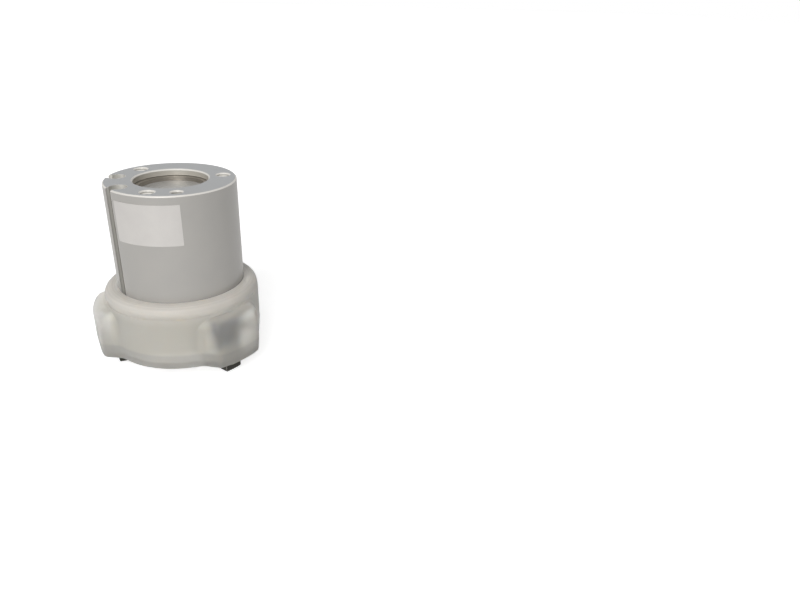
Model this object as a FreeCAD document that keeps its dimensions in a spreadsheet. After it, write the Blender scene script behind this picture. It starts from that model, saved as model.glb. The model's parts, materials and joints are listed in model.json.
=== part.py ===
import FreeCAD, Part
import math
import operator
import os
import Sketcher

doc = FreeCAD.newDocument("three_finger_gripper")
dims = doc.addObject("Spreadsheet::Sheet", "dims")

# Driving sizes in millimetres, depths measured down from the mounting face
sizes = {
    # Housing
    "body_dia": 30.0,
    "edge_chamfer": 0.3,
    "recess_dia": 17.0,
    "ring_depth": 1.5,
    "ring_groove_width": 1.1,
    "ring_groove_cut": 0.5,
    "head_thickness": 4.0,
    "bore_dia": 16.0,
    "chamber_dia": 13.0,
    # Holes of the mounting face
    "mount_circle_dia": 24.0,
    "mount_thread_dia": 3.0,
    "mount_thread_depth": 6.0,
    "pin_hole_dia": 2.5,
    "pin_hole_depth": 3.0,
    "pin_hole_angle": -90.0,
    # Sensor grooves and air ports
    "sensor_groove_dia": 4.0,
    "sensor_groove_mouth": 2.6,
    "sensor_groove_wall": 0.4,
    "sensor_groove_length": 26.3,
    "sensor_groove_angle": 21.5,
    "port_thread_dia": 3.0,
    "port_thread_depth": 4.5,
    "port_passage_dia": 1.4,
    "port_inset": 1.1,
    "port_angle": 90.0,
    # Motion
    "finger_travel": 1.0,
    "piston_travel": 2.0,
    "end_room": 0.3,
    "cam_room": 1.0,
    "plate_room": 0.6,
    # Fingers
    "finger_start": 180.0,
    "finger_head_height": 4.4,
    "finger_head_width": 8.0,
    "finger_neck_width": 4.5,
    "finger_neck_length": 8.5,
    "finger_radius": 17.5,
    "finger_reach": 4.0,
    "finger_chamfer": 0.3,
    "finger_thread_dia": 2.5,
    "finger_thread_depth": 5.0,
    "finger_thread_inset": 2.1,
    "finger_thread_pitch": 4.2,
    "thread_mouth": 0.16,
    # Wedge between cam and fingers
    "cam_gap": 0.2,
    "cam_face_radius": 5.4,
    "cam_end_wall": 0.2,
    "key_height": 2.6,
    "key_inset": 0.2,
    "key_neck_width": 1.8,
    "key_neck_depth": 0.9,
    "key_head_width": 3.2,
    "key_head_depth": 1.1,
    # Piston
    "rod_dia": 6.0,
    "stem_seat": 2.0,
    "piston_relief": 0.8,
    "piston_relief_length": 1.2,
    "piston_land": 0.8,
    "seal_groove_width": 2.0,
    "seal_groove_cut": 2.0,
    "magnet_width": 2.2,
    "magnet_cut": 1.8,
    "bolt_dia": 3.0,
    "bolt_head_dia": 5.5,
    "bolt_head_height": 3.0,
    "bolt_length": 8.0,
    "bolt_socket": 2.5,
    "bolt_socket_depth": 1.5,
    # Seals and small rings
    "head_ring_section": 1.2,
    "stem_ring_section": 0.7,
    "rod_bush_wall": 0.8,
    "rod_bush_length": 2.0,
    "rod_seal_wall": 2.0,
    "rod_seal_length": 2.2,
    "seal_lip": 0.5,
    "ring_thickness": 1.0,
    "ring_width": 1.5,
    "ring_lug_dia": 2.6,
    "ring_lug_hole": 1.2,
    "ring_lug_space": 2.6,
    "ring_lug_angle": 180.0,
    "washer_bore": 6.6,
    "washer_thickness": 0.8,
    # End plate
    "plate_thickness": 1.0,
    "plate_dia": 15.0,
    "plate_ear_width": 5.0,
    "plate_screw_circle": 21.6,
    "screw_dia": 2.0,
    "screw_length": 5.0,
    "screw_head_dia": 3.6,
    "screw_head_height": 0.9,
    "screw_slot": 0.5,
    # Silicone dust cover
    "cover_wall": 1.3,
    "cover_floor": 1.2,
    "cover_room": 0.5,
    "cover_clearance": 1.0,
    "cover_overhang": 3.4,
    "cover_shoulder": 2.8,
    "cover_bend": 2.0,
    "cover_step": 0.15,
    "cover_edge": 0.5,
    "cover_collar_height": 3.8,
    "cover_taper_height": 4.1,
    "cover_taper": 0.35,
    "cover_bead": 0.9,
    "cover_bead_depth": 1.6,
    "cover_bead_height": 1.2,
    "lobe_reach": 1.35,
    "lobe_start": 0.5,
    "lobe_flank_angle": 27.5,
    "lobe_flank_distance": 15.0,
    "lobe_corner": 2.0,
    "lobe_fillet": 3.5,
    "lobe_edge": 2.8,
    "lobe_clearance": 0.3,
    "lip_thickness": 0.7,
    "lip_overlap": 0.3,
    "lip_side": 1.1,
    "lip_corner": 1.6,
    # Clearances
    "seat_gap": 0.05,
    "slide_gap": 0.04,
    "bore_gap": 0.05,
    "thread_gap": 0.02,
    "cover_gap": 0.15,
}
for row, (name, value) in enumerate(sizes.items(), 1):
    dims.set("A%d" % row, name)
    dims.set("B%d" % row, str(value))
    dims.setAlias("B%d" % row, name)
doc.recompute()

finger_count = 3
drill_point = 0.5


# A size with its expression text and its number
class Size:
    signs = {"+": operator.add, "-": operator.sub, "*": operator.mul, "/": operator.truediv}

    def __init__(self, text, value):
        self.text = text
        self.value = value

    def joined(self, sign, other, turned=False):
        other = other if isinstance(other, Size) else Size(repr(other), float(other))
        left, right = (other, self) if turned else (self, other)
        text = "(%s %s %s)" % (left.text, sign, right.text)
        return Size(text, Size.signs[sign](left.value, right.value))

    def __add__(self, other):
        return self.joined("+", other)

    def __radd__(self, other):
        return self.joined("+", other, True)

    def __sub__(self, other):
        return self.joined("-", other)

    def __rsub__(self, other):
        return self.joined("-", other, True)

    def __mul__(self, other):
        return self.joined("*", other)

    def __rmul__(self, other):
        return self.joined("*", other, True)

    def __truediv__(self, other):
        return self.joined("/", other)

    def __neg__(self):
        return Size("(-1 * %s)" % self.text, -self.value)

    def root(self):
        return Size("sqrt(%s)" % self.text, math.sqrt(self.value))


def size(name):
    return Size("dims.%s" % name, float(dims.get(name)))


zero = Size("0", 0.0)


# Sketches and features
def body_named(label):
    body = doc.addObject("PartDesign::Body", label)
    body.Label = label
    return body


def origin(body, role):
    return next(item for item in body.Origin.OriginFeatures if item.Role == role)


def pin_point(sketch, index, place, x, y):
    point = sketch.getPoint(index, place)
    for kind, part, here, axis in (("DistanceX", x, point.x, -2), ("DistanceY", y, point.y, -1)):
        if part is None:
            continue
        if part is zero:
            sketch.addConstraint(Sketcher.Constraint("PointOnObject", index, place, axis))
            continue
        number = sketch.addConstraint(Sketcher.Constraint(kind, -1, 1, index, place, here))
        sketch.setExpression("Constraints[%d]" % number, part.text)


def new_sketch(body, name, plane, height=None, turn=None):
    sketch = body.newObject("Sketcher::SketchObject", name)
    sketch.AttachmentSupport = [(origin(body, plane), "")]
    sketch.MapMode = "FlatFace"
    if height is not None:
        sketch.setExpression("AttachmentOffset.Base.z", height.text)
    if turn is not None:
        axis = FreeCAD.Vector(0, 0, 1) if plane == "XY_Plane" else FreeCAD.Vector(0, 1, 0)
        sketch.AttachmentOffset = FreeCAD.Placement(FreeCAD.Vector(), FreeCAD.Rotation(axis, turn.value))
        sketch.setExpression("AttachmentOffset.Rotation.Angle", turn.text)
    return sketch


# A closed outline: (x, y) is reached by a line, (x, y, cx, cy) by an arc round that centre
def outline(sketch, path):
    flat = [FreeCAD.Vector(step[0].value, step[1].value, 0) for step in path]
    first = sketch.GeometryCount
    ends = []
    for number, step in enumerate(path):
        start, end = flat[number - 1], flat[number]
        if len(step) == 2:
            sketch.addGeometry(Part.LineSegment(start, end), False)
            ends.append((1, 2))
            continue
        centre = FreeCAD.Vector(step[2].value, step[3].value, 0)
        circle = Part.Circle(centre, FreeCAD.Vector(0, 0, 1), start.distanceToPoint(centre))
        begin = math.atan2(start.y - centre.y, start.x - centre.x)
        swept = math.atan2(end.y - centre.y, end.x - centre.x) - begin
        swept = (swept + math.pi) % (2 * math.pi) - math.pi
        if swept > 0:
            sketch.addGeometry(Part.ArcOfCircle(circle, begin, begin + swept), False)
            ends.append((1, 2))
        else:
            sketch.addGeometry(Part.ArcOfCircle(circle, begin + swept, begin), False)
            ends.append((2, 1))
    count = len(path)
    for number in range(count):
        after = (number + 1) % count
        joint = (first + number, ends[number][1], first + after, ends[after][0])
        sketch.addConstraint(Sketcher.Constraint("Coincident", *joint))
    for number, step in enumerate(path):
        pin_point(sketch, first + number, ends[number][1], step[0], step[1])
        if len(step) == 4:
            chord = flat[number] - flat[number - 1]
            steep = abs(chord.y) > abs(chord.x)
            pin_point(sketch, first + number, 3, step[2] if steep else None, None if steep else step[3])
    return sketch


def circle(sketch, x, y, radius):
    shape = Part.Circle(FreeCAD.Vector(x.value, y.value, 0), FreeCAD.Vector(0, 0, 1), radius.value)
    index = sketch.addGeometry(shape, False)
    pin_point(sketch, index, 3, x, y)
    number = sketch.addConstraint(Sketcher.Constraint("Radius", index, radius.value))
    sketch.setExpression("Constraints[%d]" % number, radius.text)
    return sketch


def feature(body, kind, name, sketch, **settings):
    item = body.newObject("PartDesign::" + kind, name)
    item.Profile = sketch
    for key, value in settings.items():
        if isinstance(value, Size):
            item.setExpression(key, value.text)
        else:
            setattr(item, key, value)
    sketch.Visibility = False
    doc.recompute()
    return item


def pad(body, name, sketch, length, **settings):
    return feature(body, "Pad", name, sketch, Length=length, **settings)


def pocket(body, name, sketch, length, **settings):
    return feature(body, "Pocket", name, sketch, Length=length, **settings)


def spun(body, kind, name, sketch, axis="V_Axis"):
    return feature(body, kind, name, sketch, ReferenceAxis=(sketch, [axis]), Angle=360.0)


def repeated(body, name, originals, count=finger_count, angle=None):
    pattern = body.newObject("PartDesign::PolarPattern", name)
    pattern.Originals = originals
    pattern.Axis = (origin(body, "Z_Axis"), [""])
    pattern.Occurrences = count
    pattern.Angle = 360.0
    if angle is not None:
        pattern.setExpression("Angle", angle.text)
    body.Tip = pattern
    doc.recompute()
    return pattern


def dressed(body, kind, name, chosen, **settings):
    base = body.Tip
    edges = ["Edge%d" % n for n, edge in enumerate(base.Shape.Edges, 1) if chosen(edge)]
    item = body.newObject("PartDesign::" + kind, name)
    item.Base = (base, edges)
    for key, value in settings.items():
        item.setExpression(key, value.text)
    doc.recompute()
    return item


def lies_at(edge, height):
    return abs(edge.BoundBox.ZMin - height) < 1e-4 and abs(edge.BoundBox.ZMax - height) < 1e-4


def turned(label, path):
    body = body_named(label)
    sketch = outline(new_sketch(body, label + "_profile", "XZ_Plane"), path)
    spun(body, "Revolution", label + "_turned", sketch)
    return body


# A profile spun about the line from its last point to its first
def spun_about_edge(body, kind, name, path, turn=None):
    sketch = outline(new_sketch(body, name + "_profile", "XZ_Plane", turn=turn), path)
    start, end = [FreeCAD.Vector(x.value, y.value, 0) for x, y in (path[0], path[-1])]
    index = sketch.addGeometry(Part.LineSegment(start, end), True)
    sketch.addConstraint(Sketcher.Constraint("Coincident", index, 1, 0, 2))
    sketch.addConstraint(Sketcher.Constraint("Coincident", index, 2, len(path) - 1, 2))
    return spun(body, kind, name, sketch, "Axis0")


# A drilled hole along the axis: its mouth at z, its way down (-1) or up (1)
def drilled(body, name, x, z, radius, depth, way, mouth, turn=None):
    floor = z + way * depth
    path = [
        (x, z),
        (x + radius + mouth, z),
        (x + radius, z + way * mouth),
        (x + radius, floor),
        (x, floor + way * radius * drill_point),
    ]
    return spun_about_edge(body, "Groove", name, path, turn)


# Depths that several pieces share
body_radius = size("body_dia") / 2
recess_radius = size("recess_dia") / 2
bore_radius = size("bore_dia") / 2
rod_radius = size("rod_dia") / 2
seat_gap = size("seat_gap")
slide_gap = size("slide_gap")
bush_radius = rod_radius + size("rod_bush_wall")
seal_radius = rod_radius + size("rod_seal_wall")
rod_bore = rod_radius + size("bore_gap")
piston_radius = bore_radius - size("bore_gap")
cam_radius = size("chamber_dia") / 2 - size("cam_gap")
finger_neck_inner = size("finger_radius") - size("finger_neck_length")
bead_radius = body_radius - size("cover_bead")
cover_radius = body_radius + size("cover_overhang")
lobe_room = size("finger_radius") + size("finger_travel") + size("lobe_reach")
lobe_radius = lobe_room + size("cover_wall") + size("cover_taper")

between_fingers = size("finger_start") + 180.0 / finger_count

# From the mounting face down to the rod's guide
ring_floor = size("ring_depth") + size("ring_groove_width")
head_floor = ring_floor + size("head_thickness")
piston_room = size("piston_travel") + size("end_room")
piston_top = head_floor + piston_room
seal_groove_top = piston_top + size("piston_relief_length") + size("piston_land")
seal_groove_floor = seal_groove_top + size("seal_groove_width")
magnet_top = seal_groove_floor + size("piston_land")
magnet_floor = magnet_top + size("magnet_width")
piston_floor = magnet_floor + size("piston_land") + size("piston_relief_length")
partition_top = piston_floor + piston_room
seal_top = partition_top + size("rod_bush_length")
washer_top = seal_top + size("rod_seal_length")
partition_floor = washer_top + size("washer_thickness")

# From the cam's chamber down to the finger ends
cam_top = partition_floor + size("piston_travel") + size("cam_room")
key_top = cam_top + size("piston_travel") + size("cam_end_wall")
key_floor = key_top + size("key_height")
cam_floor = key_floor + size("piston_travel") + size("cam_end_wall")
finger_head_top = key_top - size("key_inset")
neck_floor = finger_head_top + size("finger_head_height")
plate_top = cam_floor + size("piston_travel") + size("plate_room")
body_floor = plate_top + size("plate_thickness")
screw_floor = body_floor + size("screw_head_height")
membrane_top = screw_floor + size("cover_room")
cover_floor_depth = membrane_top + size("cover_floor")
finger_end = cover_floor_depth + size("finger_reach")
collar_floor = finger_head_top - size("cover_clearance")
cover_top = collar_floor - size("cover_collar_height")
cover_bead_top = cover_top + size("cover_bead_depth")
cover_bead_floor = cover_bead_top + size("cover_bead_height")


# The housing
def make_body():
    body = body_named("body")
    edge = size("edge_chamfer")
    chamber_radius = size("chamber_dia") / 2
    groove_radius = recess_radius + size("ring_groove_cut")
    plate_radius = size("plate_dia") / 2 + seat_gap
    path = [
        (recess_radius + edge, zero),
        (body_radius - edge, zero),
        (body_radius, -edge),
        (body_radius, -(cover_bead_top - seat_gap)),
        (bead_radius - seat_gap, -(cover_bead_top - seat_gap)),
        (bead_radius - seat_gap, -(cover_bead_floor + seat_gap)),
        (body_radius, -(cover_bead_floor + seat_gap)),
        (body_radius, edge - body_floor),
        (body_radius - edge, -body_floor),
        (plate_radius, -body_floor),
        (plate_radius, -plate_top),
        (chamber_radius, -plate_top),
        (chamber_radius, -partition_floor),
        (seal_radius + seat_gap, -partition_floor),
        (seal_radius + seat_gap, -seal_top),
        (bush_radius + seat_gap, -seal_top),
        (bush_radius + seat_gap, -partition_top),
        (bore_radius, -partition_top),
        (bore_radius, -head_floor),
        (recess_radius, -head_floor),
        (recess_radius, -ring_floor),
        (groove_radius, -ring_floor),
        (groove_radius, -size("ring_depth")),
        (recess_radius, -size("ring_depth")),
        (recess_radius, -edge),
    ]
    spun(body, "Revolution", "body_turned", outline(new_sketch(body, "body_profile", "XZ_Plane"), path))

    mount_radius = size("mount_circle_dia") / 2
    thread_radius = size("mount_thread_dia") / 2
    depth = size("mount_thread_depth")
    hole = drilled(body, "mount_hole", mount_radius, zero, thread_radius, depth, -1, edge, between_fingers)
    repeated(body, "mount_holes", [hole])
    pin_radius = size("pin_hole_dia") / 2
    pin_turn = size("pin_hole_angle")
    drilled(body, "pin_hole", mount_radius, zero, pin_radius, size("pin_hole_depth"), -1, edge, pin_turn)

    groove_radius = size("sensor_groove_dia") / 2
    groove_centre = body_radius - size("sensor_groove_wall") - groove_radius
    half_mouth = size("sensor_groove_mouth") / 2
    neck = groove_centre + (groove_radius * groove_radius - half_mouth * half_mouth).root()
    outside = body_radius + groove_radius
    turn = size("finger_start") - size("sensor_groove_angle")
    groove = new_sketch(body, "sensor_groove_profile", "XY_Plane", turn=turn)
    outline(groove, [
        (neck, half_mouth),
        (groove_centre - groove_radius, zero, groove_centre, zero),
        (neck, -half_mouth, groove_centre, zero),
        (outside, -half_mouth),
        (outside, half_mouth),
    ])
    cut = pocket(body, "sensor_groove", groove, size("sensor_groove_length"))
    repeated(body, "sensor_grooves", [cut], 2, 2 * size("sensor_groove_angle"))

    slot = new_sketch(body, "finger_slot_profile", "YZ_Plane", turn=size("finger_start"))
    half_head = size("finger_head_width") / 2 + slide_gap
    half_neck = size("finger_neck_width") / 2 + slide_gap
    head_top = slide_gap - finger_head_top
    head_low = -(neck_floor + slide_gap)
    below = -(body_floor + edge)
    outline(slot, [
        (half_head, head_top),
        (-half_head, head_top),
        (-half_head, head_low),
        (-half_neck, head_low),
        (-half_neck, below),
        (half_neck, below),
        (half_neck, head_low),
        (half_head, head_low),
    ])
    cut = pocket(body, "finger_slot", slot, body_radius + edge, Reversed=True)
    repeated(body, "finger_slots", [cut])

    ear = new_sketch(body, "plate_ear_profile", "XY_Plane", -body_floor, between_fingers)
    ear_outline(ear, seat_gap)
    cut = pocket(body, "plate_ear_seat", ear, size("plate_thickness"), Reversed=True)
    repeated(body, "plate_ear_seats", [cut])
    screw_radius = size("screw_dia") / 2 + size("thread_gap")
    screw_at = size("plate_screw_circle") / 2
    depth, mouth = size("screw_length"), size("thread_mouth")
    hole = drilled(body, "screw_hole", screw_at, -plate_top, screw_radius, depth, 1, mouth, between_fingers)
    repeated(body, "screw_holes", [hole])

    thread = size("port_thread_dia") / 2
    passage = size("port_passage_dia") / 2
    step = body_radius - size("port_thread_depth")
    inner = bore_radius - edge
    outer = body_radius + edge
    ports = (
        ("open_port", head_floor + size("port_inset")),
        ("close_port", partition_top - size("port_inset")),
    )
    for name, depth in ports:
        path = [
            (outer, -depth),
            (outer, thread + edge - depth),
            (body_radius, thread + edge - depth),
            (body_radius - edge, thread - depth),
            (step, thread - depth),
            (step, passage - depth),
            (inner, passage - depth),
            (inner, -depth),
        ]
        spun_about_edge(body, "Groove", name, path, size("port_angle"))


# The plate's ear with a round end, along +X
def ear_outline(sketch, gap):
    half = size("plate_ear_width") / 2 + gap
    centre = size("plate_screw_circle") / 2
    root = size("chamber_dia") / 2 - half
    outline(sketch, [
        (root, -half),
        (centre, -half),
        (centre + half, zero, centre, zero),
        (centre, half, centre, zero),
        (root, half),
    ])
    return sketch


# What closes the cylinder at the mounting face
def make_head():
    edge = size("edge_chamfer")
    radius = recess_radius - seat_gap
    section = size("head_ring_section")
    groove_radius = recess_radius - section
    middle = (ring_floor + head_floor) / 2
    turned("head_cover", [
        (zero, -ring_floor),
        (radius - edge, -ring_floor),
        (radius, -(ring_floor + edge)),
        (radius, section / 2 + seat_gap - middle),
        (groove_radius, section / 2 + seat_gap - middle),
        (groove_radius, -(section / 2 + seat_gap + middle)),
        (radius, -(section / 2 + seat_gap + middle)),
        (radius, -head_floor),
        (zero, -head_floor),
    ])
    o_ring("head_cover_seal", groove_radius + section / 2, section / 2 - seat_gap / 2, middle)

    body = body_named("retaining_ring")
    outer = recess_radius + size("ring_groove_cut") - seat_gap
    inner = outer - size("ring_width")
    low = -ring_floor
    ring = new_sketch(body, "ring_profile", "XY_Plane", low)
    circle(ring, zero, zero, outer)
    circle(ring, zero, zero, inner)
    pad(body, "ring", ring, size("ring_thickness"))
    lug_radius = size("ring_lug_dia") / 2
    lug_x = size("ring_lug_space") / 2 + lug_radius
    lug_y = ((outer - lug_radius) * (outer - lug_radius) - lug_x * lug_x).root()
    gap = new_sketch(body, "ring_gap_profile", "XY_Plane", low)
    outline(gap, [(lug_x, zero), (lug_x, outer + outer), (-lug_x, outer + outer), (-lug_x, zero)])
    pocket(body, "ring_gap", gap, size("ring_thickness"), Reversed=True)
    for name, side in (("left_lug", -1), ("right_lug", 1)):
        lug = new_sketch(body, name + "_profile", "XY_Plane", low)
        circle(lug, side * lug_x, lug_y, lug_radius)
        pad(body, name, lug, size("ring_thickness"))
        eye = new_sketch(body, name + "_eye_profile", "XY_Plane", low)
        circle(eye, side * lug_x, lug_y, size("ring_lug_hole") / 2)
        pocket(body, name + "_eye", eye, size("ring_thickness"), Reversed=True)
    turn_to(body, size("ring_lug_angle"))


def o_ring(label, radius, section, depth):
    ring = doc.addObject("Part::Torus", label)
    ring.Label = label
    ring.setExpression("Radius1", radius.text)
    ring.setExpression("Radius2", section.text)
    ring.setExpression("Placement.Base.z", (-depth).text)
    return ring


# The piston with its seal, magnet and bolt
stem_top = piston_floor - size("stem_seat")
head_seat = piston_top + size("bolt_head_height") + seat_gap


def make_piston():
    relief_radius = piston_radius - size("piston_relief")
    relief = size("piston_relief_length")
    seal_inner = piston_radius - size("seal_groove_cut")
    magnet_inner = piston_radius - size("magnet_cut")
    shank = size("bolt_dia") / 2
    head = size("bolt_head_dia") / 2
    turned("piston", [
        (head + seat_gap, -piston_top),
        (relief_radius, -piston_top),
        (relief_radius, -(piston_top + relief)),
        (piston_radius, -(piston_top + relief)),
        (piston_radius, -seal_groove_top),
        (seal_inner, -seal_groove_top),
        (seal_inner, -seal_groove_floor),
        (piston_radius, -seal_groove_floor),
        (piston_radius, -magnet_top),
        (magnet_inner, -magnet_top),
        (magnet_inner, -magnet_floor),
        (piston_radius, -magnet_floor),
        (piston_radius, relief - piston_floor),
        (relief_radius, relief - piston_floor),
        (relief_radius, -piston_floor),
        (rod_radius + seat_gap, -piston_floor),
        (rod_radius + seat_gap, -stem_top),
        (shank + seat_gap, -stem_top),
        (shank + seat_gap, -head_seat),
        (head + seat_gap, -head_seat),
    ])
    lip = size("seal_lip")
    middle = (seal_groove_top + seal_groove_floor) / 2
    seal_outer = bore_radius - seat_gap / 2
    turned("piston_seal", [
        (seal_inner + seat_gap, -(seal_groove_top + seat_gap)),
        (seal_outer - lip, -(seal_groove_top + seat_gap)),
        (seal_outer, -(seal_groove_top + lip)),
        (seal_outer - lip, -middle),
        (seal_outer, lip - seal_groove_floor),
        (seal_outer - lip, seat_gap - seal_groove_floor),
        (seal_inner + seat_gap, seat_gap - seal_groove_floor),
    ])
    turned("magnet_ring", [
        (magnet_inner + seat_gap, -(magnet_top + seat_gap)),
        (piston_radius - seat_gap, -(magnet_top + seat_gap)),
        (piston_radius - seat_gap, seat_gap - magnet_floor),
        (magnet_inner + seat_gap, seat_gap - magnet_floor),
    ])
    bolt_top = head_seat - size("bolt_head_height")
    edge = size("edge_chamfer")
    bolt = turned("cam_bolt", [
        (zero, -bolt_top),
        (head - edge, -bolt_top),
        (head, -(bolt_top + edge)),
        (head, -head_seat),
        (shank, -head_seat),
        (shank, edge - (head_seat + size("bolt_length"))),
        (shank - edge, -(head_seat + size("bolt_length"))),
        (zero, -(head_seat + size("bolt_length"))),
    ])
    socket = new_sketch(bolt, "bolt_socket_profile", "XY_Plane", -bolt_top)
    half = size("bolt_socket") / 2
    corner = size("bolt_socket") / Size("sqrt(3)", math.sqrt(3))
    outline(socket, [
        (corner, zero),
        (corner / 2, half),
        (-corner / 2, half),
        (-corner, zero),
        (-corner / 2, -half),
        (corner / 2, -half),
    ])
    pocket(bolt, "bolt_socket", socket, size("bolt_socket_depth"))


# The wedge: the slope ties the fingers' travel to the piston's
slope = size("finger_travel") / size("piston_travel")
slant = (1 + slope * slope).root()
key_middle = (key_top + key_floor) / 2


def wedge_radius(depth, inset):
    return size("cam_face_radius") - slope * (depth - key_middle) - inset * slant


def band(sketch, top, floor, outer, inner):
    outline(sketch, [
        (wedge_radius(top, outer), -top),
        (wedge_radius(top, inner), -top),
        (wedge_radius(floor, inner), -floor),
        (wedge_radius(floor, outer), -floor),
    ])
    return sketch


def make_cam():
    groove = size("stem_ring_section")
    ring_depth = (stem_top + piston_floor) / 2
    groove_radius = rod_radius - groove
    tap = size("bolt_dia") / 2 + size("thread_gap")
    tap_floor = head_seat + size("bolt_length") + size("end_room")
    cam = turned("cam", [
        (tap, -stem_top),
        (rod_radius, -stem_top),
        (rod_radius, groove / 2 + seat_gap - ring_depth),
        (groove_radius, groove / 2 + seat_gap - ring_depth),
        (groove_radius, -(groove / 2 + seat_gap + ring_depth)),
        (rod_radius, -(groove / 2 + seat_gap + ring_depth)),
        (rod_radius, -cam_top),
        (cam_radius, -cam_top),
        (cam_radius, -cam_floor),
        (zero, -cam_floor),
        (zero, -tap_floor),
        (tap, -tap_floor),
    ])
    o_ring("stem_seal", groove_radius + groove / 2 + seat_gap / 2, groove / 2 - seat_gap / 2, ring_depth)

    # Three flats on the wedge's slope, each with a T-slot for a finger's key
    face = new_sketch(cam, "cam_face_profile", "XZ_Plane")
    edge = size("edge_chamfer")
    top = cam_top - edge
    floor = cam_floor + edge
    outside = wedge_radius(top, zero) + cam_radius
    outline(face, [
        (wedge_radius(top, zero), -top),
        (outside, -top),
        (outside, -floor),
        (wedge_radius(floor, zero), -floor),
    ])
    flat = pocket(cam, "cam_face", face, cam_radius * 2, Midplane=True)
    neck_end = size("key_neck_depth")
    slot_end = neck_end + size("key_head_depth") + slide_gap
    neck = band(new_sketch(cam, "slot_neck_profile", "XZ_Plane"), top, floor, -edge, neck_end)
    neck_cut = pocket(cam, "slot_neck", neck, size("key_neck_width") + 2 * slide_gap, Midplane=True)
    wide = new_sketch(cam, "slot_head_profile", "XZ_Plane")
    band(wide, top, floor, neck_end - slide_gap, slot_end)
    wide_cut = pocket(cam, "slot_head", wide, size("key_head_width") + 2 * slide_gap, Midplane=True)
    repeated(cam, "cam_slots", [flat, neck_cut, wide_cut])
    turn_to(cam, size("finger_start"))


# What guides and seals the rod in the partition
def make_rod_guide():
    turned("rod_bush", [
        (rod_bore, -partition_top),
        (bush_radius, -partition_top),
        (bush_radius, -seal_top),
        (rod_bore, -seal_top),
    ])
    lip = size("seal_lip")
    middle = (seal_top + washer_top) / 2
    turned("rod_seal", [
        (rod_bore + lip, -seal_top),
        (seal_radius, -seal_top),
        (seal_radius, -washer_top),
        (rod_bore + lip, -washer_top),
        (rod_bore, lip - washer_top),
        (rod_bore + lip, -middle),
        (rod_bore, -(seal_top + lip)),
    ])
    washer_bore = size("washer_bore") / 2
    turned("seal_washer", [
        (washer_bore, -washer_top),
        (seal_radius, -washer_top),
        (seal_radius, -partition_floor),
        (washer_bore, -partition_floor),
    ])


# One finger along +X, then turned to its place
def make_finger(label, angle):
    finger = body_named(label)
    radius = size("finger_radius")
    head_inner = cam_radius + size("finger_travel") + size("end_room")
    stretches = (
        ("head", head_inner, size("finger_head_width") / 2, finger_head_top, neck_floor),
        ("neck", finger_neck_inner, size("finger_neck_width") / 2, neck_floor, finger_end),
    )
    for name, inner, half, top, floor in stretches:
        plan = new_sketch(finger, name + "_plan", "XY_Plane", -top)
        outer = (radius * radius - half * half).root()
        outline(plan, [(inner, half), (inner, -half), (outer, -half), (outer, half, zero, zero)])
        pad(finger, name, plan, floor - top, Reversed=True)
    low = -finger_end.value
    dressed(finger, "Chamfer", "end_chamfer", lambda edge: lies_at(edge, low), Size=size("finger_chamfer"))

    reach = new_sketch(finger, "key_neck_profile", "XZ_Plane")
    neck_end = size("key_neck_depth")
    outline(reach, [
        (wedge_radius(key_top, neck_end + slide_gap), -key_top),
        (head_inner + slide_gap, -key_top),
        (head_inner + slide_gap, -key_floor),
        (wedge_radius(key_floor, neck_end + slide_gap), -key_floor),
    ])
    pad(finger, "key_neck", reach, size("key_neck_width"), Midplane=True)
    wide = new_sketch(finger, "key_head_profile", "XZ_Plane")
    band(wide, key_top, key_floor, neck_end, neck_end + size("key_head_depth"))
    pad(finger, "key_head", wide, size("key_head_width"), Midplane=True)

    first = finger_neck_inner + size("finger_thread_inset")
    tap = size("finger_thread_dia") / 2
    for name, place in (("inner_tap", first), ("outer_tap", first + size("finger_thread_pitch"))):
        drilled(finger, name, place, -finger_end, tap, size("finger_thread_depth"), 1, size("thread_mouth"))
    turn_to(finger, angle)
    return finger


def turn_to(body, angle):
    turn = FreeCAD.Rotation(FreeCAD.Vector(0, 0, 1), angle.value)
    body.Placement = FreeCAD.Placement(FreeCAD.Vector(), turn)
    body.setExpression("Placement.Rotation.Angle", angle.text)


# The lip of the dust cover round one finger
lip_gap = size("cover_gap")
hole_inner = finger_neck_inner - size("finger_travel") - lip_gap
hole_outer = size("finger_radius") + size("finger_travel") + lip_gap
hole_half = size("finger_neck_width") / 2 + lip_gap


def make_lip(label, angle):
    lip = body_named(label)
    top = cover_floor_depth + seat_gap
    reach = size("finger_travel") + size("lip_overlap")
    half = hole_half + size("lip_side")
    plan = new_sketch(lip, "lip_plan", "XY_Plane", -top)
    outline(plan, [
        (hole_inner - reach, half),
        (hole_inner - reach, -half),
        (hole_outer + reach, -half),
        (hole_outer + reach, half),
    ])
    pad(lip, "lip", plan, size("lip_thickness"), Reversed=True)
    dressed(lip, "Fillet", "lip_corners", is_upright, Radius=size("lip_corner"))
    grip = new_sketch(lip, "lip_hole_plan", "XY_Plane", -top)
    inner = finger_neck_inner - slide_gap
    radius = size("finger_radius") + slide_gap
    half = size("finger_neck_width") / 2 + slide_gap
    outer = (radius * radius - half * half).root()
    outline(grip, [(inner, half), (inner, -half), (outer, -half), (outer, half, zero, zero)])
    pocket(lip, "lip_hole", grip, size("lip_thickness"))
    turn_to(lip, angle)
    return lip


def is_upright(edge):
    ends = [vertex.Point for vertex in edge.Vertexes]
    return len(ends) == 2 and (ends[0] - ends[1]).cross(FreeCAD.Vector(0, 0, 1)).Length < 1e-4


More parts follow.
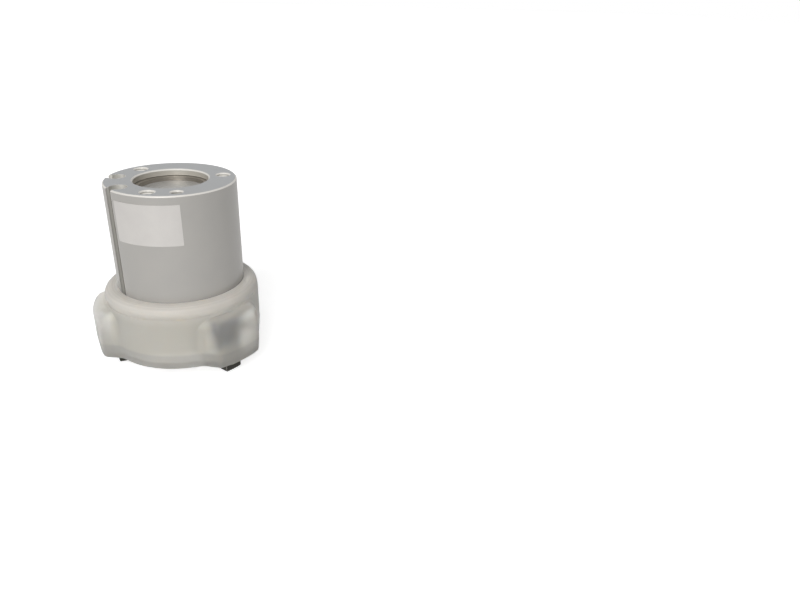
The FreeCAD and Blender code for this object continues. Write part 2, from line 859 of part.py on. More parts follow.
# The plate under the cam and its screws
def make_end_plate():
    plate = body_named("end_plate")
    disc = circle(new_sketch(plate, "disc_plan", "XY_Plane", -plate_top), zero, zero, size("plate_dia") / 2)
    pad(plate, "disc", disc, size("plate_thickness"), Reversed=True)
    ear = ear_outline(new_sketch(plate, "ear_plan", "XY_Plane", -plate_top, between_fingers), zero)
    ear_pad = pad(plate, "ear", ear, size("plate_thickness"), Reversed=True)
    screw_at = size("plate_screw_circle") / 2
    hole = new_sketch(plate, "hole_plan", "XY_Plane", -plate_top, between_fingers)
    circle(hole, screw_at, zero, size("screw_dia") / 2 + seat_gap)
    hole_cut = pocket(plate, "hole", hole, size("plate_thickness"))
    repeated(plate, "ears", [ear_pad, hole_cut])

    screws = body_named("end_plate_screws")
    screws.AllowCompound = True
    shank = size("screw_dia") / 2
    head = size("screw_head_dia") / 2
    end = plate_top - size("screw_length") + size("end_room")
    screw = spun_about_edge(screws, "Revolution", "screw", [
        (screw_at, -end),
        (screw_at + shank, -end),
        (screw_at + shank, -body_floor),
        (screw_at + head, -body_floor),
        (screw_at + head, -screw_floor),
        (screw_at, -screw_floor),
    ], between_fingers)
    half_slot = size("screw_slot") / 2
    slot = new_sketch(screws, "slot_plan", "XY_Plane", -screw_floor, between_fingers)
    outline(slot, [
        (screw_at + head, half_slot),
        (screw_at - head, half_slot),
        (screw_at - head, -half_slot),
        (screw_at + head, -half_slot),
    ])
    slot_cut = pocket(screws, "slot", slot, size("screw_head_height") / 2, Reversed=True)
    repeated(screws, "screws", [screw, slot_cut])


# The silicone dust cover: a round cup with three lobes over the fingers
def make_cover():
    cover = body_named("dust_cover")
    top = cover_top
    shoulder = size("cover_shoulder")
    collar_radius = body_radius + seat_gap
    taper_top = cover_floor_depth - size("cover_taper_height")
    rim_radius = cover_radius - size("cover_taper")
    shoulder_floor = top + shoulder
    lobe_top = shoulder_floor + size("lobe_start")
    plan = cover_outline(new_sketch(cover, "cover_plan", "XY_Plane", -lobe_top))
    pad(cover, "skirt", plan, taper_top - lobe_top, Reversed=True)
    high = -lobe_top.value
    dressed(cover, "Fillet", "lobe_edge", lambda edge: lies_at(edge, high), Radius=size("lobe_edge"))
    hem = cover_outline(new_sketch(cover, "hem_plan", "XY_Plane", -taper_top))
    taper = Size("(-1 * atan(dims.cover_taper / dims.cover_taper_height))", 0.0)
    pad(cover, "hem", hem, size("cover_taper_height"), Reversed=True, TaperAngle=taper)
    low = -cover_floor_depth.value
    dressed(cover, "Fillet", "hem_edge", lambda edge: lies_at(edge, low), Radius=size("cover_edge"))

    # The round wall and its shoulder stand in front of the lobes' rounded roofs
    step_radius = cover_radius - size("cover_step")
    bend = size("cover_bend")
    wall_profile = new_sketch(cover, "wall_profile", "XZ_Plane")
    outline(wall_profile, [
        (zero, -top),
        (step_radius - bend, -top),
        (step_radius, -top - bend, step_radius - bend, -top - bend),
        (step_radius, -shoulder_floor),
        (cover_radius, -shoulder_floor),
        (cover_radius, -taper_top),
        (zero, -taper_top),
    ])
    spun(cover, "Revolution", "round_wall", wall_profile)

    # The room inside, with the bead that snaps into the housing's groove
    wall = size("cover_wall")
    room = new_sketch(cover, "room_profile", "XZ_Plane")
    outline(room, [
        (zero, shoulder - top),
        (collar_radius, shoulder - top),
        (collar_radius, -cover_bead_top),
        (bead_radius, -cover_bead_top),
        (bead_radius, -cover_bead_floor),
        (collar_radius, -cover_bead_floor),
        (collar_radius, -collar_floor),
        (cover_radius - wall, -collar_floor),
        (cover_radius - wall, -taper_top),
        (rim_radius - wall, -membrane_top),
        (zero, -membrane_top),
    ])
    spun(cover, "Groove", "room", room)
    bay_top = finger_head_top - size("lobe_clearance")
    bay = bay_outline(new_sketch(cover, "lobe_bay_plan", "XY_Plane", -bay_top))
    bay_cut = pocket(cover, "lobe_bay", bay, membrane_top - bay_top)
    hole = new_sketch(cover, "finger_hole_plan", "XY_Plane", -membrane_top)
    outline(hole, [
        (hole_inner, hole_half),
        (hole_inner, -hole_half),
        (hole_outer, -hole_half),
        (hole_outer, hole_half),
    ])
    hole_cut = pocket(cover, "finger_hole", hole, size("cover_floor"))
    repeated(cover, "lobe_rooms", [bay_cut, hole_cut])
    turn_to(cover, size("finger_start"))
    return cover


# The plan of a lobe along +X: its flanks flare into the round wall and turn into its end by tangent arcs
flank_turn = "(dims.lobe_flank_angle * 1deg)"
flank_angle = math.radians(size("lobe_flank_angle").value)
flank_along = Size("cos" + flank_turn, math.cos(flank_angle))
flank_out = Size("sin" + flank_turn, math.sin(flank_angle))


# The point at this distance from the axis on a line at this distance beside the flank
def beside_flank(beside, distance):
    along = (distance * distance - beside * beside).root()
    return beside * flank_out + along * flank_along, beside * flank_along - along * flank_out


def lobe_corners():
    flank = size("lobe_flank_distance")
    flare = size("lobe_fillet")
    corner = size("lobe_corner")
    flare_x, flare_y = beside_flank(flank + flare, cover_radius + flare)
    corner_x, corner_y = beside_flank(flank - corner, lobe_radius - corner)
    wall_share = cover_radius / (cover_radius + flare)
    end_share = lobe_radius / (lobe_radius - corner)
    half = [
        (corner_x * end_share, corner_y * end_share, zero, zero),
        (corner_x + corner * flank_out, corner_y + corner * flank_along, corner_x, corner_y),
        (flare_x - flare * flank_out, flare_y - flare * flank_along),
        (flare_x * wall_share, flare_y * wall_share, flare_x, flare_y),
    ]
    return [
        (half[3][0], -half[3][1], zero, zero),
        (half[2][0], -half[2][1], flare_x, -flare_y),
        (half[1][0], -half[1][1]),
        (half[0][0], -half[0][1], corner_x, -corner_y),
    ] + half


# The whole plan: each lobe's corners turned about the axis, with the round wall between them
def cover_outline(sketch):
    path = []
    for number in range(finger_count):
        angle = 2 * math.pi * number / finger_count
        along, across = math.cos(angle), math.sin(angle)
        for step in lobe_corners():
            pairs = [step[:2], step[2:]] if len(step) == 4 else [step]
            turned_step = ()
            for x, y in pairs:
                if x is zero and y is zero:
                    turned_step += (zero, zero)
                else:
                    turned_step += (x * along - y * across, x * across + y * along)
            path.append(turned_step)
    return outline(sketch, path)


# The room inside a lobe, a wall thinner than its flanks and end
def bay_outline(sketch):
    flank = size("lobe_flank_distance") - size("cover_wall")
    root_x, root_y = beside_flank(flank, cover_radius - size("cover_wall"))
    end_x, end_y = beside_flank(flank, lobe_room)
    outline(sketch, [(root_x, root_y), (root_x, -root_y), (end_x, -end_y), (end_x, end_y, zero, zero)])
    return sketch


make_body()
make_head()
make_piston()
make_cam()
make_rod_guide()
make_end_plate()
make_cover()
for number in range(finger_count):
    place = size("finger_start") + number * 360.0 / finger_count
    make_finger("finger_%d" % (number + 1), place)
    make_lip("cover_lip_%d" % (number + 1), place)
doc.recompute()

# Nothing is written unless every object is sound
nodes = [item for item in doc.Objects if item.TypeId in ("PartDesign::Body", "Part::Torus")]
for item in doc.Objects:
    if "Invalid" in item.State or "Error" in item.State:
        raise RuntimeError("%s failed: %s" % (item.Name, item.State))
for node in nodes:
    if node.Shape.isNull() or not node.Shape.isValid() or not node.Shape.Solids:
        raise RuntimeError("%s has no sound shape" % node.Label)

os.makedirs("parts", exist_ok=True)
for node in nodes:
    node.Shape.exportStep("parts/%s.step" % node.Label)
    print("%-18s %2d solids %9.2f mm3" % (node.Label, len(node.Shape.Solids), node.Shape.Volume))
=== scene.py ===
import bpy
import json
import math
from mathutils import Matrix, Vector


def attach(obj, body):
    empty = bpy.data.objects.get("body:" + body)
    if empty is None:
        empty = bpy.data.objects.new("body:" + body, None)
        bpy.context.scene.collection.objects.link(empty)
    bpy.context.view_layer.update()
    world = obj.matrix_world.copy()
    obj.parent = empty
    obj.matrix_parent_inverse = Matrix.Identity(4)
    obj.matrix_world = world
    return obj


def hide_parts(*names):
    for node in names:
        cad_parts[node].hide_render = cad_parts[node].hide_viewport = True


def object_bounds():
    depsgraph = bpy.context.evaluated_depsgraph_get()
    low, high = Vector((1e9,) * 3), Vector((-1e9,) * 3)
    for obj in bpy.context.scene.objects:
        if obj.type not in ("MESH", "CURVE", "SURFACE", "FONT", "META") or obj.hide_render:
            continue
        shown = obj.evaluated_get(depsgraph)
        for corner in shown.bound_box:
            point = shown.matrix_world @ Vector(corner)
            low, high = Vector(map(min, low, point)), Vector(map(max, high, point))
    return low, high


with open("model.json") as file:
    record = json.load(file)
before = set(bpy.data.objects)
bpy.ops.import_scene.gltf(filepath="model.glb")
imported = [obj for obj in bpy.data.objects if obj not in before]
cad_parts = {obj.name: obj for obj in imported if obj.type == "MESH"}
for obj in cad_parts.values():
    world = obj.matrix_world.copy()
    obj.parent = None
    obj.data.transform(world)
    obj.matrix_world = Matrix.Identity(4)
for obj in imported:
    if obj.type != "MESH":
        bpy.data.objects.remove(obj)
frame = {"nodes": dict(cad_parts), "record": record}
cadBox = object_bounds()
mm = 0.001
smoothAngle = math.radians(30)
print("frame loaded:", len(frame["nodes"]), "nodes")


# a shader socket that can be added, taken away and multiplied like a number
class Wire:
    def __init__(self, tree, socket):
        self.tree = tree
        self.socket = socket

    def other(self, name):
        return Wire(self.tree, self.socket.node.outputs[name])

    def maths(self, operation, first, second):
        made = self.tree.nodes.new("ShaderNodeMath")
        made.operation = operation
        for place, value in zip(made.inputs, (first, second)):
            plug(self.tree, place, value)
        return Wire(self.tree, made.outputs[0])

    def __add__(self, other):
        return self.maths("ADD", self, other)

    def __radd__(self, other):
        return self.maths("ADD", other, self)

    def __sub__(self, other):
        return self.maths("SUBTRACT", self, other)

    def __rsub__(self, other):
        return self.maths("SUBTRACT", other, self)

    def __mul__(self, other):
        return self.maths("MULTIPLY", self, other)

    def __rmul__(self, other):
        return self.maths("MULTIPLY", other, self)

    # the larger of two
    def __or__(self, other):
        return self.maths("MAXIMUM", self, other)

    def __ror__(self, other):
        return self.maths("MAXIMUM", other, self)


def plug(tree, place, value):
    if isinstance(value, Wire):
        tree.links.new(value.socket, place)
    else:
        place.default_value = value


# the nodes of one material, or of the world when its tree is given
class Finish:
    def __init__(self, name, tree=None):
        if tree is None:
            self.material = bpy.data.materials.new(name)
            self.material.use_nodes = True
            tree = self.material.node_tree
            self.shader = tree.nodes["Principled BSDF"]
        self.tree = tree

    def node(self, kind, settings=None, inputs=None, output=0):
        made = self.tree.nodes.new("ShaderNode" + kind)
        for key, value in (settings or {}).items():
            if key == "stops":
                for element, (position, shade) in zip(made.color_ramp.elements, value):
                    element.position = position
                    element.color = (shade, shade, shade, 1)
            else:
                setattr(made, key, value)
        for key, value in (inputs or {}).items():
            plug(self.tree, made.inputs[key], value)
        return Wire(self.tree, made.outputs[output])

    def place(self):
        return self.node("TexCoord", output="Object")

    def noise(self, place, scale, detail=2.0, roughness=0.5):
        return self.node("TexNoise", None,
                         {"Vector": place, "Scale": scale, "Detail": detail, "Roughness": roughness})

    # 0 up to the first value, 1 from the second on
    def ramp(self, value, low, high):
        return self.node("ValToRGB", {"stops": ((low, 0), (high, 1))}, {"Fac": value})

    # the first colour where the share is 0, the second where it is 1
    def colour(self, share, first, second):
        first, second = [shade if isinstance(shade, Wire) else (*shade, 1) for shade in (first, second)]
        return self.node("Mix", {"data_type": "RGBA"}, {0: share, 6: first, 7: second}, 2)

    def bump(self, height, strength, distance):
        return self.node("Bump", None, {"Strength": strength, "Distance": distance, "Height": height})

    def put(self, sockets):
        for name, value in sockets.items():
            plug(self.tree, self.shader.inputs[name], value)
        return self.material


# distance from the axis, and height
def turned(finish):
    spot = finish.node("SeparateXYZ", None, {0: finish.place()})
    flat = finish.node("CombineXYZ", None, {0: spot, 1: spot.other("Y")})
    return finish.node("VectorMath", {"operation": "LENGTH"}, {0: flat}, "Value"), spot.other("Z")


# a noise that makes turning lines, about this number to the metre
def turnedLines(finish, number, detail):
    radius, height = turned(finish)
    across = finish.node("CombineXYZ", None, {0: radius * number, 1: height * number})
    return finish.noise(across, 1.0, detail, 0.6)


# where the surface bends sharply within a given distance
def edgeMask(finish, reach, low, high):
    soft = finish.node("Bevel", {"samples": 6}, {"Radius": reach})
    facing = finish.node("NewGeometry", output="Normal")
    same = finish.node("VectorMath", {"operation": "DOT_PRODUCT"}, {0: soft, 1: facing}, "Value")
    return finish.ramp(1 - same, low, high)


anodisedLook = {
    "light": (0.375, 0.36, 0.338), "dark": (0.347, 0.337, 0.319), "cloud": 120.0,  # the round wall
    "top": (0.345, 0.352, 0.356), "upFacingReflection": (0.85, 0.95),  # faces that look up, painted a cooler tone as a painted reflection of the light from above
    "hollowLightTint": (0.51, 0.498, 0.46), "skin": 15.0 * mm, "skinShare": (0.97, 0.985),  # painted light on the walls of grooves and holes cut into the wall, in place of their shade
    "warm": (0.41, 0.38, 0.325), "recess": 8.6 * mm, "recessShare": (0.98, 1.0),  # the recess
    "wearAndHighlightTint": (0.66, 0.64, 0.6), "chamferHighlight": (0.3, 0.5), "edgeShare": 0.85,  # chamfers painted lighter as a painted highlight, and sharp edges lighter, partly from wear and partly as a painted highlight
    "edge": 0.32 * mm, "bend": (0.02, 0.2),
    "metallic": 0.3, "roughness": 0.42, "grain": 9000.0, "lines": 6000.0, "relief": 0.004 * mm}


def makeAnodised(name, look):
    finish = Finish(name)
    spot = finish.place()
    cloud = finish.noise(spot, look["cloud"], 3.0)
    grain = finish.noise(spot, look["grain"], 2.0, 0.7)
    lines = turnedLines(finish, look["lines"], 3.0)
    radius = turned(finish)[0]
    inside = 1 - finish.ramp(radius * (1 / look["recess"]), *look["recessShare"])
    # painted light: faces inside the skin that don't look up, in grooves and holes, are coloured lighter
    litHollow = 1 - finish.ramp(radius * (1 / look["skin"]), *look["skinShare"])
    facing = finish.node("SeparateXYZ", None, {0: finish.node("TexCoord", output="Normal")}, "Z")
    # painted reflection: faces that look up take the cooler top colour
    upFacingReflection = finish.ramp(facing, *look["upFacingReflection"])
    # painted highlight along chamfers, plus edges that are partly worn and partly a painted highlight
    chamferHighlight = finish.ramp(facing, *look["chamferHighlight"]) * (1 - upFacingReflection)
    wearAndHighlight = edgeMask(finish, look["edge"], *look["bend"]) * look["edgeShare"] + chamferHighlight
    shade = finish.colour(finish.ramp(cloud * 0.6 + grain * 0.4, 0.3, 0.7), look["dark"], look["light"])
    for share, tint in ((litHollow, "hollowLightTint"), (upFacingReflection, "top"), (inside, "warm"), (wearAndHighlight, "wearAndHighlightTint")):
        shade = finish.colour(share, shade, look[tint])
    return finish.put({
        "Base Color": shade,
        "Metallic": look["metallic"],
        "Roughness": look["roughness"] + (grain - 0.5) * 0.12 + (lines - 0.5) * 0.1,
        "Normal": finish.bump(lines * 0.6 + grain * 0.4, 0.25, look["relief"]),
    })


steelLook = {"light": (0.5, 0.49, 0.47), "dark": (0.4, 0.39, 0.37), "roughness": 0.3, "grain": 4000.0,
             "lines": 5000.0, "relief": 0.004 * mm}
phosphateLook = dict(steelLook, light=(0.36, 0.33, 0.29), dark=(0.28, 0.255, 0.22), roughness=0.45, lines=3000.0)
bronzeLook = dict(steelLook, light=(0.55, 0.4, 0.22), dark=(0.4, 0.28, 0.15), roughness=0.4, lines=3000.0)


def makeSteel(name, look):
    finish = Finish(name)
    grain = finish.noise(finish.place(), look["grain"], 3.0, 0.6)
    lines = turnedLines(finish, look["lines"], 2.0)
    return finish.put({
        "Base Color": finish.colour(finish.ramp(grain, 0.3, 0.7), look["dark"], look["light"]),
        "Metallic": 1.0,
        "Roughness": look["roughness"] + (grain - 0.5) * 0.2,
        "Normal": finish.bump(lines, 0.2, look["relief"]),
    })


# the lightest colour stands for rubbed edges, partly real wear and partly a painted glint
blackenedLook = {"dark": (0.022, 0.0215, 0.018), "light": (0.04, 0.039, 0.033), "wearAndHighlight": (0.62, 0.61, 0.59),
                 "wearAndHighlightShare": 0.8, "edge": 0.28 * mm, "bend": (0.04, 0.2), "metallic": 0.85, "roughness": 0.38,
                 "grain": 7000.0, "blotch": 700.0, "relief": 0.006 * mm}


def makeBlackened(name, look):
    finish = Finish(name)
    spot = finish.place()
    grain = finish.noise(spot, look["grain"], 3.0, 0.6)
    blotch = finish.noise(spot, look["blotch"], 4.0, 0.6)
    # edges painted lighter, partly as rubbed wear and partly as a painted glint
    rubbedAndHighlight = edgeMask(finish, look["edge"], *look["bend"]) * finish.ramp(blotch, 0.2, 0.5)
    shade = finish.colour(finish.ramp(blotch * 0.5 + grain * 0.5, 0.35, 0.65), look["dark"], look["light"])
    return finish.put({
        "Base Color": finish.colour(rubbedAndHighlight * look["wearAndHighlightShare"], shade, look["wearAndHighlight"]),
        "Metallic": look["metallic"],
        "Roughness": look["roughness"] + (grain - 0.5) * 0.25 - rubbedAndHighlight * 0.12,
        "Normal": finish.bump(grain, 0.2, look["relief"]),
    })


siliconeLook = {
    # the hem colours are painted shade on the band near the bottom of the cover
    "clear": (0.985, 0.97, 0.93), "clearHemShade": (0.8, 0.79, 0.765), "see": 0.905, "bend": 1.25,
    "pale": (0.62, 0.602, 0.54), "dim": (0.59, 0.573, 0.514), "hem": (0.49, 0.478, 0.446),
    "collar": (0.765, 0.732, 0.68), "ringShade": (0.63, 0.605, 0.56), "rings": 530.0, "ringShare": 0.55,
    "ringHeight": 6.0, "scatter": (1.0, 0.92, 0.82), "depth": 0.7 * mm, "roughness": 0.42, "cloud": 180.0,
    "grain": 5000.0, "flow": 2200.0, "relief": 0.01 * mm,
    "top": -25.0 * mm, "floor": -42.0 * mm,  # the next three are shares of the way down from top to floor
    "shoulder": (0.13, 0.3), "foot": (0.58, 0.74), "band": (0.72, 0.76),
    "lobe": 22.0 * mm, "outer": (0.79, 0.815), "front": (0.848, 0.89),  # shares of the lobe's reach
    "wallMilk": 0.48, "collarMilk": 0.6, "footMilk": 0.22}


def makeSilicone(name, look):
    finish = Finish(name)
    spot = finish.place()
    cloud = finish.noise(spot, look["cloud"], 3.0)
    grain = finish.noise(spot, look["grain"], 2.0, 0.6)
    flow = turnedLines(finish, look["flow"], 2.0)
    radius, height = turned(finish)
    depth = (height - look["top"]) * (1 / (look["floor"] - look["top"]))
    # painted shade: the band near the bottom of the cover is coloured darker
    hem = finish.ramp(depth, *look["band"])
    foot = finish.ramp(depth, *look["foot"])
    collar = 1 - finish.ramp(depth, *look["shoulder"])
    reach = radius * (1 / look["lobe"])
    outer = finish.ramp(reach, *look["outer"])
    front = finish.ramp(reach, *look["front"])
    # the collar's fine rings are painted darker as painted shade of small steps, and are also bumped
    rings = collar * finish.node("TexWave", {"wave_type": "RINGS", "rings_direction": "Z"},
                                 {"Vector": spot, "Scale": look["rings"]}, "Fac")
    shade = finish.colour(finish.ramp(cloud, 0.3, 0.7), look["dim"], look["pale"])
    for share, tint in ((collar, "collar"), (hem, "hem"), (rings * look["ringShare"], "ringShade")):
        shade = finish.colour(share, shade, look[tint])
    relief = grain * 0.5 + flow * 0.5 + (1 - rings) * look["ringHeight"]
    surface = {
        "Roughness": look["roughness"] + (grain - 0.5) * 0.12,
        "Normal": finish.bump(relief, 0.25, look["relief"]),
        "Subsurface Weight": 1.0,
        "Subsurface Radius": look["scatter"],
        "Subsurface Scale": look["depth"],
        "IOR": look["bend"],
    }
    finish.put({**surface, "Base Color": finish.colour(hem, look["clear"], look["clearHemShade"]),
                "Transmission Weight": look["see"]})
    clear = Wire(finish.tree, finish.shader.outputs[0])
    milky = finish.node("BsdfPrincipled", None, {**surface, "Base Color": shade})
    # the collar is the thickest and milkiest, and the thin fronts of the lobes are the clearest
    wall = outer * (1 - front) * look["wallMilk"]
    share = wall | collar * look["collarMilk"] | outer * foot * look["footMilk"]
    mixed = finish.node("MixShader", None, {0: share, 1: clear, 2: milky})
    plug(finish.tree, finish.tree.nodes["Material Output"].inputs["Surface"], mixed)
    return finish.material


rubberLook = {"dark": (0.012, 0.012, 0.013), "light": (0.03, 0.03, 0.03), "roughness": 0.55, "grain": 5000.0,
              "relief": 0.01 * mm}


def makeRubber(name, look):
    finish = Finish(name)
    grain = finish.noise(finish.place(), look["grain"], 3.0, 0.6)
    return finish.put({
        "Base Color": finish.colour(finish.ramp(grain, 0.3, 0.7), look["dark"], look["light"]),
        "Roughness": look["roughness"] + (grain - 0.5) * 0.2,
        "Normal": finish.bump(grain, 0.2, look["relief"]),
    })


filmLook = {"light": (0.55, 0.53, 0.505), "dark": (0.515, 0.495, 0.475), "metallic": 0.25, "roughness": 0.45,
            "grain": 6000.0, "wave": 300.0, "relief": 0.02 * mm}


def makeFilm(name, look):
    finish = Finish(name)
    spot = finish.place()
    grain = finish.noise(spot, look["grain"], 3.0, 0.7)
    wave = finish.noise(spot, look["wave"], 2.0)
    mottle = finish.ramp(wave * 0.5 + grain * 0.5, 0.35, 0.65)
    return finish.put({
        "Base Color": finish.colour(mottle, look["dark"], look["light"]),
        "Metallic": look["metallic"],
        "Roughness": look["roughness"] + (grain - 0.5) * 0.2,
        "Normal": finish.bump(wave * 0.7 + grain * 0.3, 0.15, look["relief"]),
    })


headCoverLook = dict(anodisedLook, roughness=0.28, grain=30000.0, lines=3500.0, warm=(0.4, 0.395, 0.38))
finishes = {
    "housing_aluminium": makeAnodised("anodisedHousing", anodisedLook),
    "cover_aluminium": makeAnodised("turnedHeadCover", headCoverLook),
    "piston_aluminium": makeAnodised("turnedPiston", dict(anodisedLook, roughness=0.3)),
    "ring_steel": makeSteel("phosphatedSteel", phosphateLook),
    "bolt_steel": makeSteel("stainlessScrew", steelLook),
    "plate_steel": makeSteel("stainlessSheet", steelLook),
    "cam_steel": makeSteel("groundCam", dict(steelLook, roughness=0.22)),
    "finger_steel": makeBlackened("blackenedFinger", blackenedLook),
    "bush_bronze": makeSteel("sinteredBronze", bronzeLook),
    "seal_rubber": makeRubber("sealRubber", rubberLook),
    "magnet_rubber": makeRubber("magnetRubber", dict(rubberLook, roughness=0.7)),
    "cover_silicone": makeSilicone("milkySilicone", siliconeLook),
}
labelFilm = makeFilm("labelFilm", filmLook)
print("finishes made:", len(finishes) + 1)


def only(piece):
    if bpy.context.mode != "OBJECT":
        bpy.ops.object.mode_set(mode="OBJECT")
    bpy.ops.object.select_all(action="DESELECT")
    piece.select_set(True)
    bpy.context.view_layer.objects.active = piece


def applied(piece, kind, **settings):
    only(piece)
    modifier = piece.modifiers.new(kind.title(), kind)
    for key, value in settings.items():
        setattr(modifier, key, value)
    bpy.ops.object.modifier_apply(modifier=modifier.name)


def settled(piece):
    only(piece)
    bpy.ops.object.transform_apply(location=True, rotation=True, scale=True)


def dressed(piece, body, slot, material=None):
    piece.data.materials.clear()
    piece.data.materials.append(material or finishes[slot])
    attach(piece, body)


nodeBody = {node: body for body, nodes in frame["record"]["behaviour"]["bodies"].items() for node in nodes}
nodeSlot = {part["node"]: part["material_slot"] for part in frame["record"]["subparts"]}

# every node keeps its solid and takes its finish
for node, solid in frame["nodes"].items():
    solid.data.materials.clear()
    solid.data.materials.append(finishes[nodeSlot[node]])

softening = {
    "edges": {"body": 0.05 * mm, "head_cover": 0.04 * mm, "retaining_ring": 0.08 * mm, "dust_cover": 0.05 * mm,
              "finger_1": 0.04 * mm, "finger_2": 0.04 * mm, "finger_3": 0.04 * mm,
              "cover_lip_1": 0.2 * mm, "cover_lip_2": 0.2 * mm, "cover_lip_3": 0.2 * mm},
    "angle": math.radians(32), "segments": 2, "merge": 0.0005 * mm, "flat": math.radians(0.2)}


# a smooth piece in a node's place, its sharp edges broken as the real ones are
def smoothed(node, name, edge):
    piece = bpy.data.objects.new(name, frame["nodes"][node].data.copy())
    bpy.context.scene.collection.objects.link(piece)
    only(piece)
    bpy.ops.object.mode_set(mode="EDIT")
    bpy.ops.mesh.select_all(action="SELECT")
    bpy.ops.mesh.remove_doubles(threshold=softening["merge"])
    bpy.ops.mesh.customdata_custom_splitnormals_clear()
    bpy.ops.mesh.dissolve_limited(angle_limit=softening["flat"])
    bpy.ops.object.mode_set(mode="OBJECT")
    applied(piece, "BEVEL", width=edge, segments=softening["segments"], limit_method="ANGLE",
            angle_limit=softening["angle"], miter_outer="MITER_ARC", use_clamp_overlap=True)
    bpy.ops.object.shade_smooth_by_angle(angle=softening["angle"])
    applied(piece, "WEIGHTED_NORMAL", keep_sharp=True)
    dressed(piece, nodeBody[node], nodeSlot[node])
    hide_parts(node)


for node, edge in softening["edges"].items():
    smoothed(node, node + ".finished", edge)
print("nodes finished:", len(softening["edges"]))


def around(radius, turn, height):
    turn = math.radians(turn)
    return Vector((radius * math.cos(turn), radius * math.sin(turn), height))


label = {"radius": 15.0 * mm, "gap": 0.01 * mm, "thick": 0.06 * mm, "top": -2.05 * mm, "height": 9.45 * mm,
         "start": -150.0, "end": -89.5, "corner": 0.5 * mm, "cornerSteps": 5, "steps": 360}


def makeLabel():
    bpy.ops.object.select_all(action="DESELECT")
    bpy.ops.mesh.primitive_cylinder_add(vertices=label["steps"], radius=label["radius"] + label["gap"],
                                        depth=label["height"], end_fill_type="NOTHING",
                                        location=(0, 0, label["top"] - label["height"] / 2))
    piece = bpy.context.object
    piece.name = "label.film"
    settled(piece)
    # the tube is cut down to the label's arc
    bpy.ops.object.mode_set(mode="EDIT")
    for edge, side in (("start", 90), ("end", -90)):
        bpy.ops.mesh.select_all(action="SELECT")
        bpy.ops.mesh.bisect(plane_co=(0, 0, 0), plane_no=around(1.0, label[edge] + side, 0), clear_inner=True)
    bpy.ops.mesh.select_all(action="DESELECT")
    bpy.ops.object.mode_set(mode="OBJECT")
    # the corners are the only points at its two ends
    turns = [math.atan2(vertex.co.y, vertex.co.x) for vertex in piece.data.vertices]
    first, last = min(turns), max(turns)
    for vertex, turn in zip(piece.data.vertices, turns):
        vertex.select = min(turn - first, last - turn) < 1e-4
    bpy.ops.object.mode_set(mode="EDIT")
    bpy.ops.mesh.bevel(affect="VERTICES", offset=label["corner"], segments=label["cornerSteps"])
    bpy.ops.object.mode_set(mode="OBJECT")
    applied(piece, "SOLIDIFY", thickness=label["thick"], offset=1.0)
    bpy.ops.object.shade_smooth_by_angle(angle=smoothAngle)
    dressed(piece, "housing", "housing_aluminium", labelFilm)


makeLabel()
print("label made")


# a share of 0.53 makes a turn 0.92 of the pitch wide at its root, so the turns almost meet there
mountThread = {"radius": 1.5 * mm, "crest": 1.24 * mm, "root": 0.03 * mm, "pitch": 0.5 * mm, "share": 0.53,
               "turns": 10, "steps": 24}
fingerThread = dict(mountThread, radius=1.25 * mm, crest=1.02 * mm, pitch=0.45 * mm, turns=9)
portThread = dict(mountThread, turns=7)


def makeThread(name, thread):
    # the triangle stands upright, its point towards the axis; a circle of 3 points is 1.5 radii high
    high = (thread["radius"] + thread["root"] - thread["crest"]) / 1.5
    bpy.ops.object.select_all(action="DESELECT")
    bpy.ops.mesh.primitive_circle_add(vertices=3, radius=1.0, rotation=(math.radians(90), math.radians(-90), 0),
                                      location=(thread["crest"] + high, 0, thread["pitch"] / 2))
    piece = bpy.context.object
    piece.name = name
    piece.scale = (thread["pitch"] * thread["share"], high, 1)
    settled(piece)
    applied(piece, "SCREW", axis="Z", angle=math.tau, screw_offset=thread["pitch"], iterations=thread["turns"],
            steps=thread["steps"], render_steps=thread["steps"], use_merge_vertices=True)
    bpy.ops.object.mode_set(mode="EDIT")
    bpy.ops.mesh.select_all(action="SELECT")
    bpy.ops.mesh.fill_holes(sides=4)
    bpy.ops.mesh.select_all(action="SELECT")
    bpy.ops.mesh.normals_make_consistent(inside=False)
    bpy.ops.object.mode_set(mode="OBJECT")
    bpy.ops.object.shade_smooth_by_angle(angle=smoothAngle)
    return piece


def threadsIn(name, thread, places, slot):
    first = makeThread(name, thread)
    for number, (body, spot, turn) in enumerate(places, 1):
        piece = bpy.data.objects.new("%s.%d" % (name, number), first.data.copy())
        bpy.context.scene.collection.objects.link(piece)
        piece.location = spot
        piece.rotation_euler = turn
        settled(piece)
        dressed(piece, body, slot)
    bpy.data.objects.remove(first)


holes = {"circle": 12.0 * mm, "mounts": (0, 120, 240), "mountFloor": -5.7 * mm,
         "fingers": (180, 300, 60), "reaches": (11.1 * mm, 15.3 * mm), "fingerFloor": -44.9 * mm,
         "ports": (-7.7 * mm, -19.1 * mm), "portInner": 10.9 * mm}
upright = (0, 0, 0)
outward = (math.radians(-90), 0, 0)  # the ports open towards +Y
threadsIn("mountThread", mountThread,
          [("housing", around(holes["circle"], turn, holes["mountFloor"]), upright) for turn in holes["mounts"]],
          "housing_aluminium")
threadsIn("fingerThread", fingerThread,
          [("finger_%d" % number, around(reach, turn, holes["fingerFloor"]), upright)
           for number, turn in enumerate(holes["fingers"], 1) for reach in holes["reaches"]],
          "finger_steel")
threadsIn("portThread", portThread,
          [("housing", Vector((0, holes["portInner"], height)), outward) for height in holes["ports"]],
          "housing_aluminium")
print("threads made")


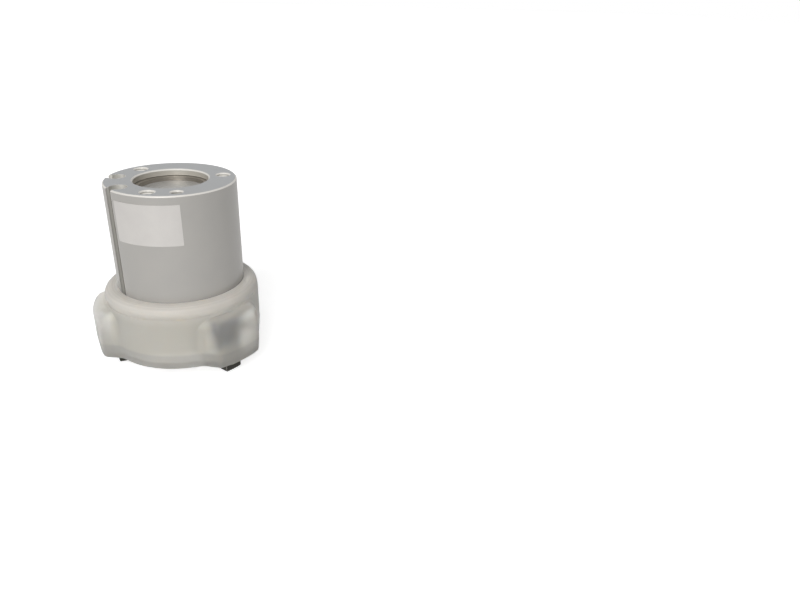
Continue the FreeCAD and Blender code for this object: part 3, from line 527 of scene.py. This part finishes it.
studio = {"floor": 6.0, "pale": 0.6, "glow": 0.7, "ambient": 0.27, "turn": -117.0, "lift": 34.0, "key": 2.78,
          "spread": 40.0}


# rays that should meet a white background
def whiteRays(finish):
    rays = finish.node("LightPath")
    return rays | rays.other("Is Glossy Ray") | rays.other("Is Transmission Ray")


def makeStudio():
    bpy.ops.mesh.primitive_plane_add(size=studio["floor"], location=(0, 0, cadBox[0][2]))
    floor = bpy.context.object
    floor.name = "floor"
    finish = Finish("paleFloor")
    pale = studio["pale"]
    finish.put({"Base Color": (pale, pale, pale, 1), "Roughness": 0.9,
                "Emission Color": whiteRays(finish) * studio["glow"], "Emission Strength": 1.0})
    floor.data.materials.append(finish.material)

    world = bpy.data.worlds.new("paleRoom")
    bpy.context.scene.world = world
    world.use_nodes = True
    room = Finish("paleRoom", world.node_tree)
    plug(room.tree, room.tree.nodes["Background"].inputs["Color"],
         studio["ambient"] + whiteRays(room) * (1 - studio["ambient"]))

    # a broad lamp to the left of the camera, far away, so that it lights the whole floor alike
    bpy.ops.object.light_add(type="SUN",
                             rotation=(0, math.radians(90 - studio["lift"]), math.radians(studio["turn"])))
    lamp = bpy.context.object
    lamp.name = "keyLamp"
    lamp.data.energy = studio["key"]
    lamp.data.angle = math.radians(studio["spread"])


photoView = {"place": (-0.01115, -0.15946, 0.042145), "yaw": 24.08, "pitch": 25.445, "roll": 2.3,
             "lens": 29.466, "sensor": 36.0, "near": 0.005}


def makeCamera():
    bpy.ops.object.camera_add(location=photoView["place"])
    camera = bpy.context.object
    turn = (Matrix.Rotation(math.radians(-photoView["yaw"]), 4, "Z")
            @ Matrix.Rotation(math.radians(90 - photoView["pitch"]), 4, "X")
            @ Matrix.Rotation(math.radians(photoView["roll"]), 4, "Z"))
    camera.rotation_euler = turn.to_euler()
    camera.data.sensor_width = photoView["sensor"]
    camera.data.lens = photoView["lens"]
    camera.data.clip_start = photoView["near"]
    bpy.context.scene.camera = camera


makeStudio()
makeCamera()
bpy.context.scene.view_settings.view_transform = "Standard"
print("studio and camera set")
